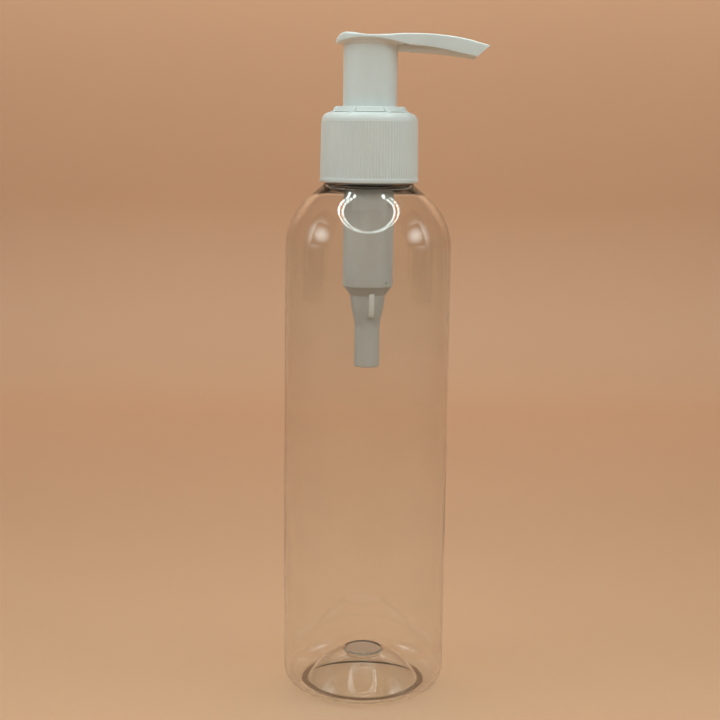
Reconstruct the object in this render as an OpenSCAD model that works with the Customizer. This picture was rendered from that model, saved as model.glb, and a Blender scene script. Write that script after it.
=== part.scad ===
// Soap pump dispenser: a clear round-shouldered bottle with a white screw-on lotion pump.
// The bottle stands on z = 0, its axis is the Z axis, and the spout points along +X.
// Every height above the shoulder is counted from the bottle's rim.

/* [Bottle] */
// Outer diameter of the body
bottle_d = 47.5; // [46.5:0.5:49]
// Height from the standing ring to the rim
bottle_h = 164.5; // [160:0.5:180]
// Wall thickness of the body
bottle_wall = 0.6; // [0.5:0.1:0.8]
// Radius of the round shoulder
shoulder_r = 20; // [19:0.5:20.5]
// Radius of the heel
heel_r = 5.5; // [4.5:0.5:6]
// Rise of the base's centre
pushup_h = 9; // [6:0.5:9]
// Bore of the neck
neck_bore_d = 19; // [19:0.1:19.4]
// Height of the finish, from the ledge on the shoulder to the rim
finish_h = 16.2; // [16.2:0.1:16.8]

/* [Thread] */
// Axial advance in one turn
pitch = 3.175; // [3:0.005:3.3]
// Turns of thread on the neck and in the closure
thread_turns = 1.5; // [1:0.25:1.5]

/* [Closure] */
// Outer diameter over the bottom bead
closure_d = 28.1; // [27.8:0.1:28.6]
// Height of the closure
closure_h = 19.5; // [19:0.1:19.6]
// Number of grip ribs
rib_count = 100; // [60:10:120]

/* [Pump] */
// Outer diameter of the chamber
chamber_d = 14.4; // [14.2:0.1:14.8]
// Bore of the chamber, which the piston runs in
chamber_bore_d = 12.8; // [12.7:0.1:12.9]
// Outer diameter of the dip tube that the socket takes
dip_tube_d = 5.4; // [5:0.1:5.6]
// Full travel of the head: piston stroke and valve gap together
head_travel = 14.5; // [12:0.5:14.5]
// Diameter of the return spring's wire
wire_d = 0.8; // [0.6:0.1:0.8]

/* [Head] */
// Outer diameter of the skirt under the thumb pad
skirt_d = 15.2; // [15:0.1:15.3]
// Reach of the spout's tip from the axis
spout_reach = 33.1; // [32:0.1:34]
// Bore of the spout
spout_bore_d = 2.5; // [2:0.1:2.6]

/* [Hidden] */
$fn = 96;
eps = 0.02; // overlap that joins two solids of one piece
fit = 0.05; // radial gap of a running fit

rim = bottle_h;
body_r = bottle_d / 2;
ledge_r = 12.7;    // corner where the shoulder ends, just under the closure
root_r = 10.75;   // neck wall between the threads
crest_r = 11.85;  // outside of the neck's thread
neck_bore_r = neck_bore_d / 2;
ledge_z = rim - finish_h;
flank_r = 16.3;    // where the round shoulder turns into a straight flank
flank_h = 3.1;
shoulder_x = body_r - shoulder_r;
shoulder_angle = acos((flank_r - shoulder_x) / shoulder_r);
shoulder_z = ledge_z - 0.3 - flank_h - shoulder_r * sin(shoulder_angle);
ring_in_r = body_r - heel_r - 1.75; // inner edge of the flat standing ring
base_ring_t = 0.9;
base_centre_t = 1.6;

thread_flank = 1.1;  // how much wider a thread is at its root than at its crest
thread_crest_w = 1.1;
thread_z = rim - 1.6 - pitch * thread_turns; // centre of the neck thread's lower end

gasket_t = 0.9;
flange_t = 1.0;
flange_r = 10.8;
flange_top = rim + gasket_t + flange_t;
ceiling_z = flange_top + 0.1;   // underside of the closure's top wall
closure_top = ceiling_z + 1.5;
closure_bottom = closure_top - closure_h;
closure_r = closure_d / 2;
closure_hole_r = 8.6;
closure_root_r = 12.2;
closure_crest_r = 11.02;
grip_r = closure_r - 0.3;       // outside of the ribs
rib_depth = 0.28;
rib_bottom = closure_bottom + 1.1;
rib_top = closure_top - 2.6;
dome_r = 2.5;

cup_r = 9.1;
cup_bore_r = 8.48;
cup_floor = rim - 12.5;
chamber_r = chamber_d / 2;
chamber_bore_r = chamber_bore_d / 2;
chamber_floor = rim - 45;
nose_z = chamber_floor - 3.5;
seat_z = rim - 54.9;            // small end of the ball's conical seat
socket_top = rim - 58.3;
socket_end = rim - 68.9;
socket_r = 3.6;
socket_bore_r = dip_tube_d / 2;
cage_r = 2.9;
port_r = 1.5;
ball_r = 2.4;
ball_z = seat_z - port_r + ball_r * sqrt(2) + eps;

collar_under = closure_top + 0.1;
collar_top = collar_under + 1.45;
collar_base_r = 10.6;
collar_rim_r = 9.65;
sleeve_r = 8.45;
well_r = 7.75;
collar_floor_t = 1.15;
stem_r = 3.3;
stem_bore_r = 2.12;
shank_r = 2.9;
guide_top = cup_floor + 7;

valve_gap = 1;
piston_h = 9;
piston_top = cup_floor - 0.05;
piston_bottom = piston_top - piston_h;
stem_bottom = piston_top + valve_gap;
poppet_z = piston_bottom - 0.05;
spring_top = poppet_z - 1.8;
spring_r = 4.5;
spring_turns = 7.5;

head_z = rim + 22.5;            // level of the thumb pad's underside
skirt_r = skirt_d / 2;
skirt_bottom = rim + 4.1;
stem_top = head_z - 1.9;
socket_tube_r = 4.7;
bore_slope = 0.085;
bore_z = head_z + 0.45;         // height of the spout's bore at the pump's axis
bore_angle = atan(bore_slope);
tube_r = 1.95;
tip_angle = 48.5;               // lean of the spout's cut end
tip_top = -0.6;

// Stations along the head: x, top, lower edge and half width, with heights counted from head_z.
head_stations = [
    [-9.75, 0.9, -0.2, 1.2],
    [-8.9, 2.35, -0.15, 3.9],
    [-7.0, 3.2, 0, 6.7],
    [-3.5, 2.8, 0.3, 9.05],
    [1, 2.4, 0.45, 9.65],
    [5, 2.48, 0.35, 8.8],
    [9, 2.85, -0.15, 6.9],
    [13, 2.95, -0.85, 5.4],
    [19, 2.3, -1.65, 4.3],
    [26, 0.95, -2.95, 3.7],
    [spout_reach + 1, -0.8, -4.6, 3.35]
];

// ---- shared shapes ----

// Points on an arc about (x, y), from angle a to angle b.
function arc(x, y, r, a, b, n = 10) =
    [for (i = [0:n]) [x + r * cos(a + (b - a) * i / n), y + r * sin(a + (b - a) * i / n)]];

// Radius of the dome that rises h over a circle of radius r.
function dome_radius(r, h) = (r * r + h * h) / (2 * h);

// Points on a dome's profile, from the axis out to (r, z).
function dome(r, z, h, n = 8) =
    let (big = dome_radius(r, h))
    arc(0, z + h - big, big, 90, acos(r / big), n);

function reversed(list) = [for (i = [len(list) - 1:-1:0]) list[i]];

// A smooth curve through the middle two of four rows, at t from 0 to 1.
function curve(a, b, c, d, t) =
    (2 * b + (c - a) * t + (2 * a - 5 * b + 4 * c - d) * t * t
        + (3 * b - a - 3 * c + d) * t * t * t) / 2;

// The rows of a table with steps - 1 more put between each two.
function smoothed(rows, steps) =
    let (last = len(rows) - 1)
    concat([for (i = [0:last - 1], k = [0:steps - 1])
        curve(rows[max(i - 1, 0)], rows[i], rows[i + 1], rows[min(i + 2, last)], k / steps)],
        [rows[last]]);

// Joins rings of equally many points into one closed solid.
module skin(rings) {
    n = len(rings[0]);
    last = len(rings) - 1;
    sides = [for (i = [0:last - 1], j = [0:n - 1])
        [i * n + j, i * n + (j + 1) % n, (i + 1) * n + (j + 1) % n, (i + 1) * n + j]];
    polyhedron(
        points = [for (ring = rings, p = ring) p],
        faces = concat(
            [for (f = sides) [f[0], f[1], f[2]]],
            [for (f = sides) [f[0], f[2], f[3]]],
            [[for (j = [n - 1:-1:0]) j]],
            [[for (j = [0:n - 1]) last * n + j]]));
}

module tube(outer, inner, z0, z1) {
    rotate_extrude()
        translate([inner, z0])
            square([outer - inner, z1 - z0]);
}

// A screw thread. It starts at z, its foot is buried in the wall, and its ends run out to the wall.
module thread(foot_r, tip_r, z) {
    steps = round(30 * thread_turns);
    out = sign(tip_r - foot_r);
    bury = out * 0.25;
    depth = abs(tip_r - foot_r);
    half_tip = thread_crest_w / 2;
    half_foot = half_tip + thread_flank / 2;
    skin([for (i = [0:steps])
        let (
            a = 360 * thread_turns * i / steps,
            h = z + pitch * a / 360,
            grow = min(1, (0.5 + min(i, steps - i)) / 3),
            r = foot_r + out * depth * grow,
            ring = [[foot_r - bury, h - half_foot], [r, h - half_tip],
                [r, h + half_tip], [foot_r - bury, h + half_foot]]
        )
        [for (p = out > 0 ? ring : reversed(ring)) [p[0] * cos(a), p[0] * sin(a), p[1]]]]);
}

// ---- bottle ----

module bottle() {
    outside = concat(
        dome(ring_in_r, 0, pushup_h),
        arc(body_r - heel_r, heel_r, heel_r, -90, 0),
        arc(shoulder_x, shoulder_z, shoulder_r, 0, shoulder_angle, 16),
        [[ledge_r, ledge_z - 0.3], [ledge_r, ledge_z], [root_r, ledge_z], [root_r, rim - 0.4],
            [root_r - 0.4, rim]]);
    inner_r = shoulder_r - bottle_wall - 0.1;
    inside = concat(
        dome(ring_in_r, base_ring_t, pushup_h + base_centre_t - base_ring_t),
        arc(body_r - heel_r, heel_r, heel_r - bottle_wall, -90, 0),
        arc(shoulder_x, shoulder_z, inner_r, 0, acos((neck_bore_r - shoulder_x) / inner_r), 16),
        [[neck_bore_r, rim - 0.4], [neck_bore_r + 0.4, rim]]);
    color([0.93, 0.9, 0.87, 0.3]) {
        rotate_extrude()
            polygon(concat(outside, reversed(inside)));
        thread(root_r, crest_r, thread_z);
        // gate mark, left by moulding at the middle of the base
        translate([0, 0, pushup_h - 0.5])
            cylinder(r = 1.8, h = 0.8);
    }
}

// ---- closure ----

// Outline of the ribbed grip: a circle with rib_count shallow valleys.
module grip_outline() {
    step = 360 / rib_count;
    valley_r = grip_r - rib_depth;
    polygon([for (i = [0:rib_count - 1], k = [[0, grip_r], [0.45, grip_r], [0.6, valley_r], [0.85, valley_r]])
        [k[1] * cos((i + k[0]) * step), k[1] * sin((i + k[0]) * step)]]);
}

module closure() {
    wall_r = grip_r - rib_depth - 0.05; // smooth wall that the ribs stand on
    cap_r = grip_r - 0.1;
    profile = concat(
        [[closure_root_r, closure_bottom], [closure_r - 0.2, closure_bottom],
            [closure_r, closure_bottom + 0.25], [closure_r, rib_bottom - 0.3], [wall_r, rib_bottom],
            [wall_r, rib_top - 0.25], [cap_r, rib_top - 0.1], [cap_r, closure_top - dome_r]],
        arc(cap_r - dome_r, closure_top - dome_r, dome_r, 0, 90, 6),
        [[closure_hole_r, closure_top], [closure_hole_r, ceiling_z], [closure_root_r, ceiling_z]]);
    color([0.9, 0.92, 0.91]) {
        rotate_extrude()
            polygon(profile);
        translate([0, 0, rib_bottom - 0.2])
            linear_extrude(rib_top - rib_bottom + 0.2)
                difference() {
                    grip_outline();
                    circle(r = (closure_root_r + wall_r) / 2);
                }
        thread(closure_root_r, closure_crest_r, thread_z - pitch / 2);
    }
}

// ---- pump body ----

module neck_gasket() {
    color([0.86, 0.87, 0.86])
        tube(10.7, cup_r + 0.1, rim + eps, rim + gasket_t - eps);
}

module pump_housing() {
    outside = [[0, socket_top + 0.5], [socket_bore_r, socket_top + 0.5], [socket_bore_r, socket_end],
        [socket_r - 0.4, socket_end], [socket_r + 0.1, socket_end + 0.5], [socket_r + 0.1, socket_end + 1.1],
        [socket_r, socket_end + 1.6], [socket_r, socket_top + 1], [3.75, nose_z - 7], [4.55, nose_z - 3.6],
        [5.1, nose_z + 0.4], [chamber_r - 0.5, chamber_floor - 1], [chamber_r, chamber_floor - 0.5],
        [chamber_r, cup_floor - 1.6], [cup_r, cup_floor - 0.2], [cup_r, rim + gasket_t],
        [flange_r, rim + gasket_t], [flange_r, flange_top - 0.15], [flange_r - 0.15, flange_top],
        [0, flange_top]];
    inside = [[0, socket_top], [port_r, socket_top], [port_r, seat_z], [cage_r, seat_z + cage_r - port_r],
        [cage_r, chamber_floor], [chamber_bore_r, chamber_floor], [chamber_bore_r, cup_floor],
        [cup_bore_r, cup_floor], [cup_bore_r, flange_top - 6.6], [cup_bore_r + 0.22, flange_top - 6.3],
        [cup_bore_r + 0.22, flange_top - 5.5], [cup_bore_r, flange_top - 5.2],
        [cup_bore_r, flange_top + 1], [0, flange_top + 1]];
    color([0.88, 0.89, 0.86]) {
        difference() {
            union() {
                rotate_extrude()
                    polygon(outside);
                nose_gussets();
            }
            rotate_extrude()
                polygon(inside);
            vent_hole();
            mould_mark();
            socket_lead_in();
        }
        spring_seat();
        ball_stops();
    }
}

// Four upright ribs on the nose, one of them just right of the front.
module nose_gussets() {
    for (i = [0:1])
        rotate([90, 0, i * 180 + 13 - 90])
            linear_extrude(1.4, center = true)
                polygon([[3, nose_z - 6], [4.8, nose_z - 5.7], [5.3, nose_z - 3],
                    [5.4, nose_z + 1], [3, nose_z + 1]]);
}

// Air hole behind the resting piston's lips, opened when the piston goes down.
module vent_hole() {
    translate([0, 0, piston_bottom + 5])
        rotate([90, 0, 40])
            cylinder(r = 0.4, h = 10);
}

module mould_mark() {
    rotate([0, 0, 46 - 90])
        translate([chamber_r - 0.3, -0.15, chamber_floor + 0.3])
            cube([1, 0.3, 0.9]);
}

module socket_lead_in() {
    translate([0, 0, socket_end - eps])
        cylinder(r1 = socket_bore_r + 0.35, r2 = socket_bore_r, h = 0.4);
}

// Low ring that centres the spring's bottom coil.
module spring_seat() {
    tube(3.8, cage_r, chamber_floor - eps, chamber_floor + 1.4);
}

// Four nubs above the ball, which let it lift but not leave.
module ball_stops() {
    for (i = [0:3])
        rotate([0, 0, 45 + i * 90])
            translate([2.2, -0.5, ball_z + 2.6])
                cube([1, 1, 0.8]);
}

module lock_collar() {
    snap_z = flange_top - 6.3;
    profile = [[stem_r + 0.06, cup_floor + 0.05], [sleeve_r - 0.3, cup_floor + 0.05],
        [sleeve_r, cup_floor + 0.35], [sleeve_r, snap_z - 0.2], [sleeve_r + 0.18, snap_z + 0.05],
        [sleeve_r + 0.18, snap_z + 0.7], [sleeve_r, snap_z + 1], [sleeve_r, collar_under],
        [collar_base_r, collar_under], [collar_rim_r + 0.12, collar_top - 0.15],
        [collar_rim_r - 0.1, collar_top], [well_r + 0.3, collar_top], [well_r, collar_top - 0.3],
        [well_r, cup_floor + collar_floor_t], [4.6, cup_floor + collar_floor_t],
        [4.6, guide_top - 0.3], [4.3, guide_top], [stem_r + 0.06, guide_top]];
    color([0.92, 0.94, 0.93]) {
        rotate_extrude()
            polygon(profile);
        for (i = [0:7])
            rotate([90, 0, 22.5 + i * 45])
                linear_extrude(0.75, center = true)
                    polygon([[9.2, collar_under], [collar_base_r + 0.25, collar_under],
                        [collar_rim_r + 0.3, collar_top + 0.03], [9.2, collar_top + 0.03]]);
    }
}

// ---- moving pump parts ----

module piston() {
    sleeve = 3.9;
    lip = chamber_bore_r - fit;
    skin_in = 5.55;
    skin_out = 6.05;
    web = piston_bottom + 4.1;
    color([0.93, 0.93, 0.9])
        rotate_extrude()
            polygon([[shank_r + fit, piston_bottom], [sleeve, piston_bottom], [sleeve, web],
                [skin_in, web], [skin_in + 0.3, piston_bottom + 0.7], [lip, piston_bottom + 0.4],
                [lip, piston_bottom + 1.1], [skin_out, piston_bottom + 2.6],
                [skin_out, piston_top - 2.4], [lip, piston_top - 1.1], [lip, piston_top - 0.4],
                [skin_in + 0.3, piston_top - 0.7], [skin_in, web + 1.3], [sleeve, web + 1.3],
                [sleeve, piston_top], [shank_r + fit, piston_top]]);
}

module upper_stem() {
    color([0.9, 0.9, 0.88])
        rotate_extrude()
            polygon([[stem_bore_r, stem_bottom], [stem_r, stem_bottom], [stem_r, stem_top - 0.3],
                [stem_r - 0.3, stem_top], [stem_bore_r, stem_top]]);
}

module lower_stem() {
    bore = 1.5;
    plug_r = stem_bore_r - 0.02;
    window_z = poppet_z + 1.1;
    color([0.9, 0.9, 0.88])
        difference() {
            rotate_extrude()
                polygon([[0, spring_top - 2], [2.2, spring_top - 2], [2.5, spring_top - 1.7],
                    [2.5, spring_top], [5.2, spring_top], [5.2, spring_top + 1], [4.2, poppet_z],
                    [shank_r - 0.5, poppet_z], [shank_r - 0.5, window_z + 3.2], [shank_r, window_z + 3.7],
                    [shank_r, stem_bottom - 0.03], [plug_r, stem_bottom - 0.03],
                    [plug_r, stem_bottom + 4], [plug_r - 0.3, stem_bottom + 4.3], [0, stem_bottom + 4.3]]);
            translate([0, 0, window_z])
                cylinder(r = bore, h = 30);
            // cross windows that let the dose into the stem
            for (turn = [0, 90])
                rotate([0, 0, turn])
                    translate([-4, -0.8, window_z])
                        cube([8, 1.6, 2.6]);
        }
}

module return_spring() {
    bottom = chamber_floor + wire_d / 2 + eps;
    top = spring_top - wire_d / 2 - eps;
    steps = round(20 * spring_turns);
    closed = wire_d * 1.02;      // advance of a closed end coil in one turn
    open_turns = spring_turns - 2;
    open_rise = top - bottom - 2 * closed;
    function rise(turn) = turn < 1 ? closed * turn
        : turn < 1 + open_turns ? closed + open_rise * (turn - 1) / open_turns
        : closed + open_rise + closed * (turn - 1 - open_turns);
    color([0.7, 0.71, 0.72])
        skin([for (i = [0:steps])
            let (turn = spring_turns * i / steps, a = 360 * turn, h = bottom + rise(turn))
            [for (k = [0:7])
                let (r = spring_r + wire_d / 2 * cos(45 * k))
                [r * cos(a), r * sin(a), h + wire_d / 2 * sin(45 * k)]]]);
}

module inlet_ball() {
    color([0.75, 0.78, 0.78])
        translate([0, 0, ball_z])
            sphere(r = ball_r);
}

// ---- head ----

// One cross-section of the head. inset thins it, and drop lowers its underside.
function head_section(row, inset, drop) =
    let (
        x = row[0],
        w = row[3] - inset,
        top = row[1] - inset,
        low = row[2] - drop,
        edge = min(0.3, w / 5),
        r = min(1, (top - low) * 0.42, w * 0.6),
        side = concat([[w - edge, low], [w, low + edge]], arc(w - r, top - r, r, 0, 90, 4),
            [[w * 0.4, top + 0.1]])
    )
    concat(
        [for (p = side) [x, -p[0], head_z + p[1]]],
        [[x, 0, head_z + top + 0.13]],
        [for (p = reversed(side)) [x, p[0], head_z + p[1]]]);

module head_loft(from_x = -20, inset = 0, drop = 0) {
    skin([for (row = smoothed(head_stations, 3)) if (row[0] > from_x) head_section(row, inset, drop)]);
}

// The space under the spout, on both sides of its tube.
module spout_hollow() {
    intersection() {
        head_loft(4, 1.15, 5);
        translate([skirt_r + 1.2, -10, head_z - 8])
            cube([spout_reach - skirt_r - 8.5, 20, 12]);
    }
}

module along_spout() {
    translate([0, 0, bore_z])
        rotate([0, 90 + bore_angle, 0])
            children();
}

// Everything beyond the spout's leaning end.
module beyond_tip() {
    translate([spout_reach, 0, head_z + tip_top])
        rotate([0, tip_angle, 0])
            translate([0, -10, -20])
                cube([12, 20, 30]);
}

module actuator_head() {
    color([0.93, 0.95, 0.94])
        difference() {
            union() {
                difference() {
                    head_loft();
                    spout_hollow();
                }
                along_spout()
                    cylinder(r = tube_r, h = spout_reach + 1);
                tube(skirt_r, skirt_r - 0.8, skirt_bottom, head_z + 1);
                tube(socket_tube_r, stem_r - 0.5, stem_top - 8, head_z + 1);
            }
            beyond_tip();
            translate([0, 0, stem_top - 9])
                cylinder(r = stem_r + eps, h = 9 + eps);
            translate([0, 0, stem_top - 1])
                cylinder(r = stem_bore_r, h = bore_z - stem_top + 2);
            along_spout()
                cylinder(r = spout_bore_d / 2, h = spout_reach + 5);
        }
}

bottle();
closure();
neck_gasket();
pump_housing();
lock_collar();
actuator_head();
upper_stem();
lower_stem();
piston();
return_spring();
inlet_ball();
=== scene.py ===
"""Looks of the soap pump dispenser, a clear bottle with a white lotion pump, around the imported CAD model.

Shapes are worked out in millimetres and turned into metres when a mesh is made. Heights and radii that the
CAD model holds are read from its nodes' boxes. The spout points along +X and the camera looks along +Y.
"""

import math

import bmesh
import bpy
import numpy as np
from mathutils import Matrix, Vector


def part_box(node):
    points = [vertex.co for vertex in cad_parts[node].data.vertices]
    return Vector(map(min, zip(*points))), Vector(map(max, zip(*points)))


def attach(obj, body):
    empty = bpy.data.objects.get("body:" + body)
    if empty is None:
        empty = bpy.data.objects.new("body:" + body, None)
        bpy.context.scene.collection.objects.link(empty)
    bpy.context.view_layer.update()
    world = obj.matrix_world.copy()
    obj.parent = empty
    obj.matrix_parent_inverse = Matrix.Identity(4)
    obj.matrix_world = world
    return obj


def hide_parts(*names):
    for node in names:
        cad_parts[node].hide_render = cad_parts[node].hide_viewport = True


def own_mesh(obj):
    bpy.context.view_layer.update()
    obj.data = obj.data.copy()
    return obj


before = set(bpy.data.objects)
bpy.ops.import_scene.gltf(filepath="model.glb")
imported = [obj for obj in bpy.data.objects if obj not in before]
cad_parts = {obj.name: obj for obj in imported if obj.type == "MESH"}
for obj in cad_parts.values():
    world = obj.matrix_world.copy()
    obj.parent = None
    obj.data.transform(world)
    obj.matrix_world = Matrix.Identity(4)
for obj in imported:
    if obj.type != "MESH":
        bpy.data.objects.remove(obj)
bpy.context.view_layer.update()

MM = 0.001
FINE = 192  # sides of a large turned piece
COARSE = 96  # sides of a small turned piece
SHARP = 32  # degrees between two faces, above which their edge stays sharp
UNION, CUT = "UNION", "DIFFERENCE"


def box_mm(node):
    """Lowest and highest corner of a CAD node, in millimetres."""
    return tuple(np.array(corner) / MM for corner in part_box(node))


BOTTLE, CLOSURE, COLLAR = box_mm("bottle"), box_mm("closure"), box_mm("lock_collar")
HOUSING, HEAD, GASKET = box_mm("pump_housing"), box_mm("actuator_head"), box_mm("neck_gasket")
PISTON, SPRING, BALL = box_mm("piston"), box_mm("return_spring"), box_mm("inlet_ball")
UPPER_STEM, LOWER_STEM = box_mm("upper_stem"), box_mm("lower_stem")

RIM = BOTTLE[1][2]
BODY_R = BOTTLE[1][0]
CHAMBER_FLOOR = RIM - 45
HEAD_Z = RIM + 22.5  # level of the thumb pad's underside
SKIRT_BOTTOM = HEAD[0][2]
SKIRT_R = 7.6
PITCH = 3.175
THREAD_TURNS = 1.5
THREAD_Z = RIM - 1.6 - PITCH * THREAD_TURNS  # lower end of the neck's thread


# ---------------------------------------------------------------- meshes


def make_piece(name, points, faces, sharp=SHARP):
    """A mesh object from points in millimetres, smooth but for edges sharper than the angle."""
    mesh = bpy.data.meshes.new(name)
    mesh.from_pydata((np.asarray(points, float) * MM).tolist(), [], faces)
    piece = bpy.data.objects.new(name, mesh)
    bpy.context.scene.collection.objects.link(piece)
    face_outwards(mesh)
    smooth(mesh, sharp)
    return piece


def face_outwards(mesh):
    """Joins doubled points and turns every face outwards."""
    work = bmesh.new()
    work.from_mesh(mesh)
    bmesh.ops.remove_doubles(work, verts=work.verts, dist=1e-7)
    bmesh.ops.recalc_face_normals(work, faces=work.faces)
    work.to_mesh(mesh)
    work.free()


def smooth(mesh, sharp=SHARP):
    """Smooth shading, but for edges sharper than the angle."""
    mesh.polygons.foreach_set("use_smooth", [True] * len(mesh.polygons))
    mesh.set_sharp_from_angle(angle=math.radians(sharp))
    mesh.update()


def arc(x, z, r, start, end, steps=12):
    """Points on an arc about (x, z), from one angle to another, in degrees."""
    turn = np.radians(np.linspace(start, end, steps + 1))
    return [(x + r * math.cos(t), z + r * math.sin(t)) for t in turn]


def rounded(corners, closed=True):
    """An outline with its corners rounded. A corner is (r, z) or (r, z, radius)."""
    steps = 5
    out = []
    for i, corner in enumerate(corners):
        here = np.array(corner[:2], float)
        radius = corner[2] if len(corner) > 2 else 0
        inner = closed or 0 < i < len(corners) - 1
        if not radius or not inner:
            out.append(tuple(here))
            continue
        before = np.array(corners[i - 1][:2], float) - here
        after = np.array(corners[(i + 1) % len(corners)][:2], float) - here
        len_a, len_b = np.linalg.norm(before), np.linalg.norm(after)
        before, after = before / len_a, after / len_b
        half = math.acos(np.clip(before @ after, -1, 1)) / 2
        reach = min(radius / math.tan(half), 0.49 * len_a, 0.49 * len_b)
        radius = reach * math.tan(half)
        centre = here + (before + after) / np.linalg.norm(before + after) * radius / math.sin(half)
        a, b = here + before * reach - centre, here + after * reach - centre
        sweep = math.atan2(a[0] * b[1] - a[1] * b[0], a @ b)
        for k in range(steps + 1):
            t = sweep * k / steps
            out.append((centre[0] + a[0] * math.cos(t) - a[1] * math.sin(t),
                        centre[1] + a[0] * math.sin(t) + a[1] * math.cos(t)))
    return out


def finely(outline, longest, low=-1e9, high=1e9, closed=True):
    """The outline with points added, so that no side between the two heights is longer than longest."""
    out = []
    pairs = zip(outline, outline[1:] + outline[:1] if closed else outline[1:] + outline[-1:])
    for a, b in pairs:
        out.append(a)
        far = math.dist(a, b)
        if far > longest and min(a[1], b[1]) >= low and max(a[1], b[1]) <= high:
            n = math.ceil(far / longest)
            out += [tuple(np.array(a) + (np.array(b) - np.array(a)) * k / n) for k in range(1, n)]
    return out


def turned(name, outline, sides=FINE, closed=True, shape=None, sharp=SHARP):
    """A piece turned about the Z axis. shape(r, z, angles) may change a ring's radii."""
    angles = np.arange(sides) * 2 * math.pi / sides
    points, rings = [], []
    for r, z in outline:
        if r < 1e-6:
            rings.append([len(points)])
            points.append((0, 0, z))
            continue
        radii = np.full(sides, r) if shape is None else shape(r, z, angles)
        rings.append(list(range(len(points), len(points) + sides)))
        points += list(zip(radii * np.cos(angles), radii * np.sin(angles), np.full(sides, z)))
    faces = []
    for a, b in zip(rings, rings[1:] + (rings[:1] if closed else [])):
        faces += band(a, b)
    return make_piece(name, points, faces, sharp)


def band(a, b):
    """Faces between two rings of points. A ring of one point is a pole."""
    n = max(len(a), len(b))
    if len(a) == 1:
        return [(a[0], b[j], b[(j + 1) % n]) for j in range(n)]
    if len(b) == 1:
        return [(a[j], b[0], a[(j + 1) % n]) for j in range(n)]
    return [(a[j], b[j], b[(j + 1) % n], a[(j + 1) % n]) for j in range(n)]


def skinned(name, rings):
    """A closed solid over rings of equally many points, with flat ends."""
    rings = np.asarray(rings, float)
    count, n = rings.shape[:2]
    index = [list(range(i * n, (i + 1) * n)) for i in range(count)]
    faces = [f for a, b in zip(index, index[1:]) for f in band(a, b)]
    return make_piece(name, rings.reshape(-1, 3), faces + [index[0][::-1], index[-1]])


def swept(name, path, radius, sides=24):
    """A round bar along a path of points."""
    path = np.asarray(path, float)
    along = np.gradient(path, axis=0)
    along /= np.linalg.norm(along, axis=1)[:, None]
    side = np.cross(along, (0, 0, 1))
    flat = np.linalg.norm(side, axis=1) < 1e-6
    side[flat] = (1, 0, 0)
    side /= np.linalg.norm(side, axis=1)[:, None]
    up = np.cross(side, along)
    turn = np.arange(sides) * 2 * math.pi / sides
    rings = [p + radius * (np.outer(np.cos(turn), s) + np.outer(np.sin(turn), u))
             for p, s, u in zip(path, side, up)]
    return skinned(name, rings)


def prism(name, outline, thick, bevel=0.0):
    """A plate of an outline in the XZ plane, thick along Y. Its edges can be rounded."""
    front = [(x, -thick / 2, z) for x, z in outline]
    back = [(x, thick / 2, z) for x, z in outline]
    n = len(outline)
    faces = [tuple(range(n)), tuple(range(2 * n - 1, n - 1, -1))]
    faces += [(j, j + n, (j + 1) % n + n, (j + 1) % n) for j in range(n)]
    piece = make_piece(name, front + back, faces)
    if bevel:
        rounding = piece.modifiers.new("edges", "BEVEL")
        rounding.width, rounding.segments, rounding.limit_method = bevel * MM, 3, "ANGLE"
        settle(piece)
    return piece


def settle(piece):
    """Applies the piece's modifiers."""
    seen = piece.evaluated_get(bpy.context.evaluated_depsgraph_get())
    mesh = bpy.data.meshes.new_from_object(seen)
    piece.modifiers.clear()
    piece.data = mesh
    smooth(mesh)


def combine(piece, others, operation):
    """Joins other solids to the piece, or cuts them out of it, and takes them away."""
    for other in others:
        step = piece.modifiers.new(operation, "BOOLEAN")
        step.operation, step.object, step.solver = operation, other, "EXACT"
        settle(piece)
        bpy.data.objects.remove(other)
    return piece


def mended(piece):
    """Closes the hair-thin slits and folds that cutting leaves."""
    hair = 2e-6
    work = bmesh.new()
    work.from_mesh(piece.data)
    bmesh.ops.remove_doubles(work, verts=work.verts, dist=hair)
    bmesh.ops.dissolve_degenerate(work, edges=work.edges, dist=hair)
    bmesh.ops.holes_fill(work, edges=[edge for edge in work.edges if edge.is_boundary], sides=4)
    bmesh.ops.recalc_face_normals(work, faces=work.faces)
    work.to_mesh(piece.data)
    work.free()
    smooth(piece.data)
    return piece


def placed(piece, turn=0.0, shift=(0, 0, 0)):
    """Turns a piece about Z by degrees and moves it, in its own mesh."""
    move = Matrix.Translation(Vector(shift) * MM) @ Matrix.Rotation(math.radians(turn), 4, "Z")
    piece.data.transform(move)
    return piece


def smoothstep(low, high, x):
    """From 0 at low to 1 at high, with a soft start and end."""
    t = np.clip((np.asarray(x, float) - low) / (high - low), 0, 1)
    return t * t * (3 - 2 * t)


def cubic(t, step, start, end, start_slope, end_slope):
    """The value at a share t of a step, on a cubic with the given ends and slopes."""
    return ((1 + 2 * t) * (1 - t) ** 2 * start + t * (1 - t) ** 2 * step * start_slope
            + t * t * (3 - 2 * t) * end + t * t * (t - 1) * step * end_slope)


def curve_through(points, x):
    """A smooth curve through (x, value) points, level beyond the first and the last."""
    px, py = np.array(points, float).T
    slopes = np.gradient(py, px)
    i = np.clip(np.searchsorted(px, x) - 1, 0, len(px) - 2)
    h = px[i + 1] - px[i]
    t = np.clip((x - px[i]) / h, 0, 1)
    return cubic(t, h, py[i], py[i + 1], slopes[i], slopes[i + 1])


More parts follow.
